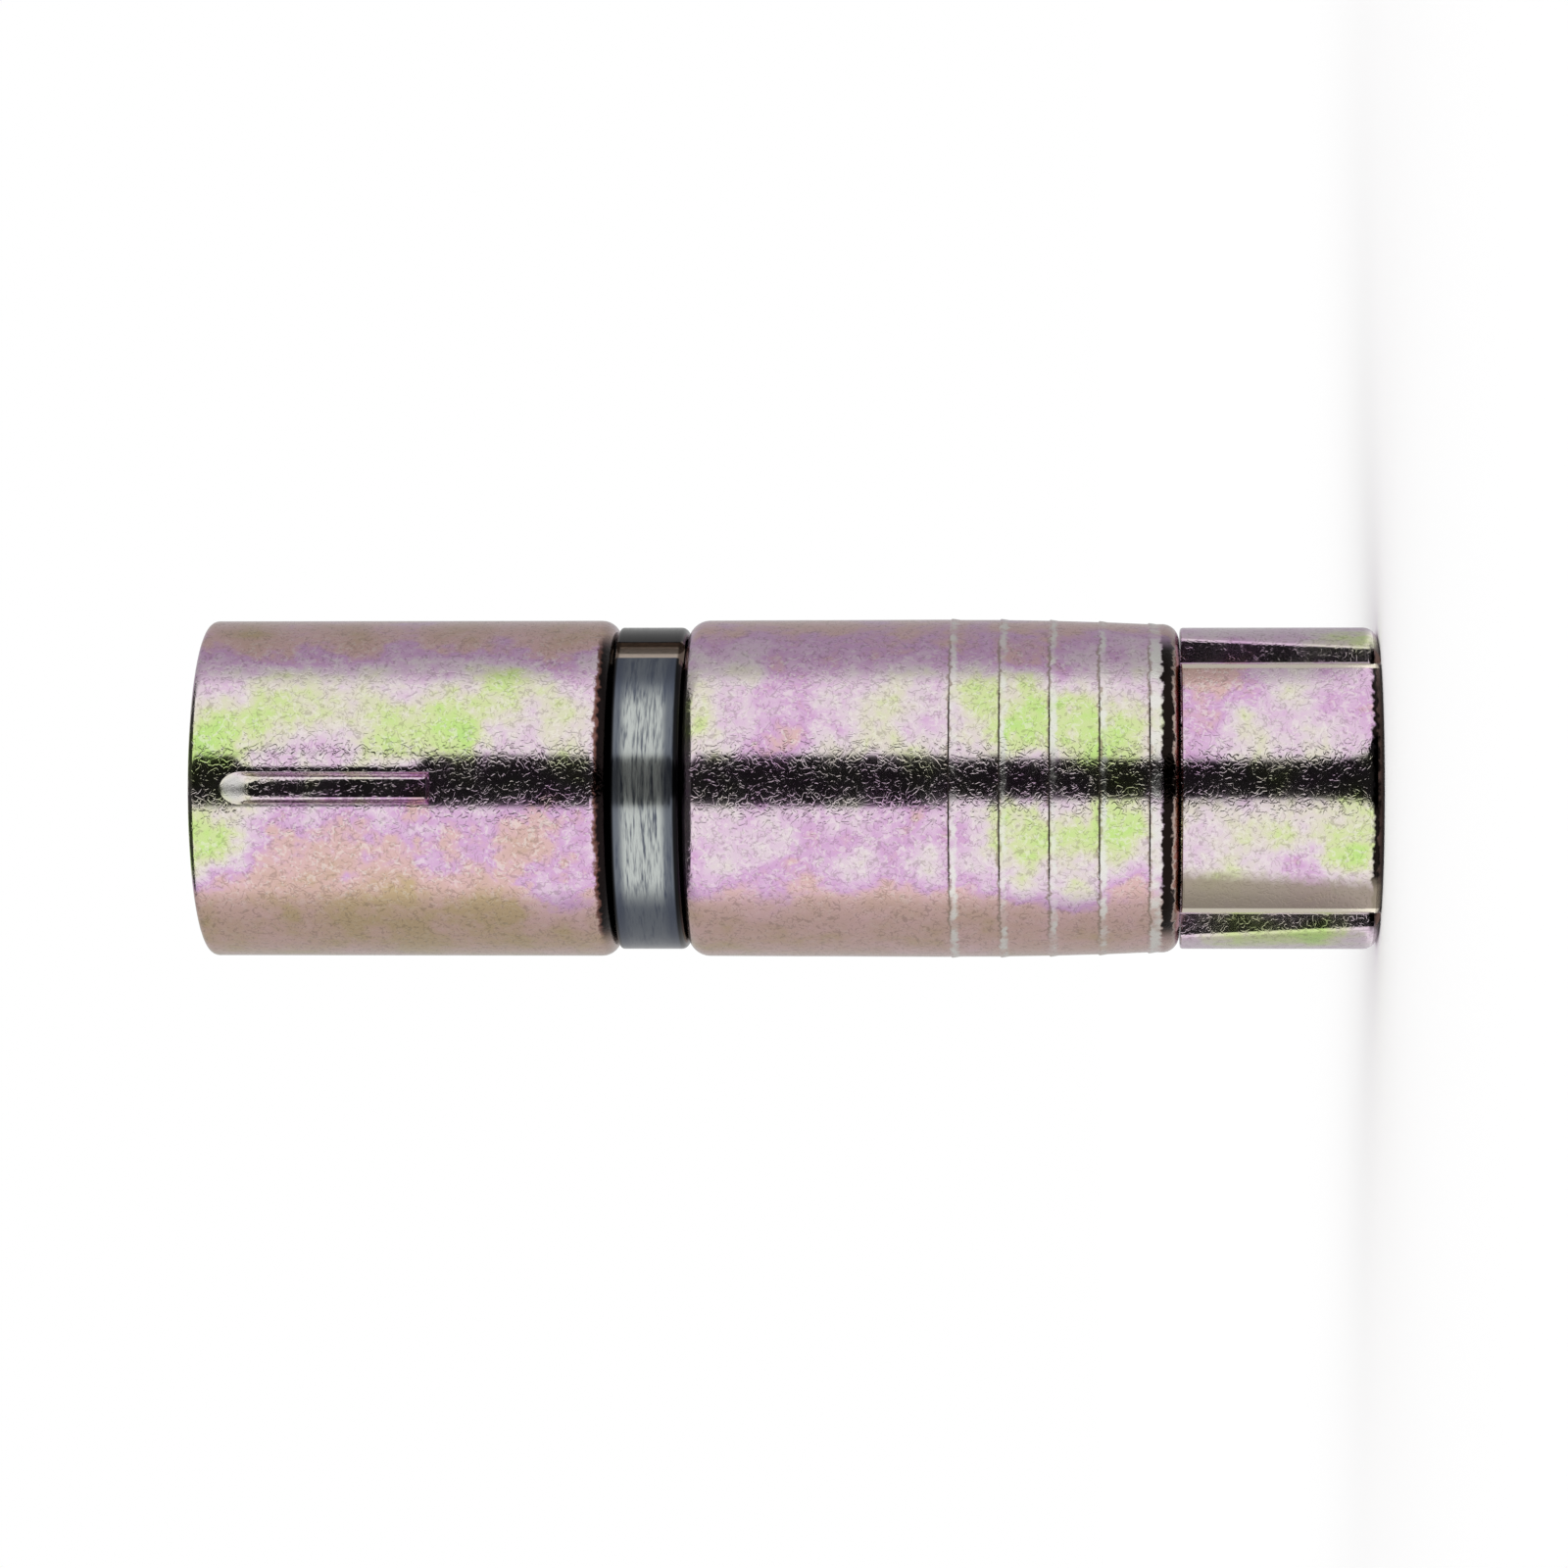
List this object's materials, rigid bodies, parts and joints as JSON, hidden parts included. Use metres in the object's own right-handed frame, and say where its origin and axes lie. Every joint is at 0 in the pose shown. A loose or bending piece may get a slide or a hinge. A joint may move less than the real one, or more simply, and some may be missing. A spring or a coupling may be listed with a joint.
{
  "type": "expansion anchor",
  "caption": "Sleeve-type expansion anchor: plain distance sleeve, plastic compression ring, slit shell with barb rings, and a threaded cone nut that spreads it.",
  "frame": {"origin": "centre of the anchor's foot, on the free end of the cone nut", "axes": "+Z along the bolt's axis, from the cone nut to the mouth of the distance sleeve; the pressed groove faces -Y"},
  "size_m": [0.016, 0.016, 0.0549],
  "materials": {
    "zinc_steel": "zinc plated with an iridescent yellow and pink chromate film, satin",
    "ring_plastic": "dark blue-grey moulded plastic, satin"
  },
  "bodies": {
    "shell": {"expansion_sleeve": "zinc_steel", "compression_ring": "ring_plastic"},
    "cone": {"cone_nut": "zinc_steel"},
    "spacer": {"distance_sleeve": "zinc_steel"}
  },
  "joints": [
    {"name": "cone_draw", "type": "slide", "parent": "shell", "child": "cone", "axis": [0, 0, 1], "range_m": [0, 0.003], "deforming": ["expansion_sleeve"]},
    {"name": "ring_crush", "type": "slide", "parent": "shell", "child": "spacer", "axis": [0, 0, -1], "range_m": [0, 0.0016], "deforming": ["compression_ring"]}
  ]
}
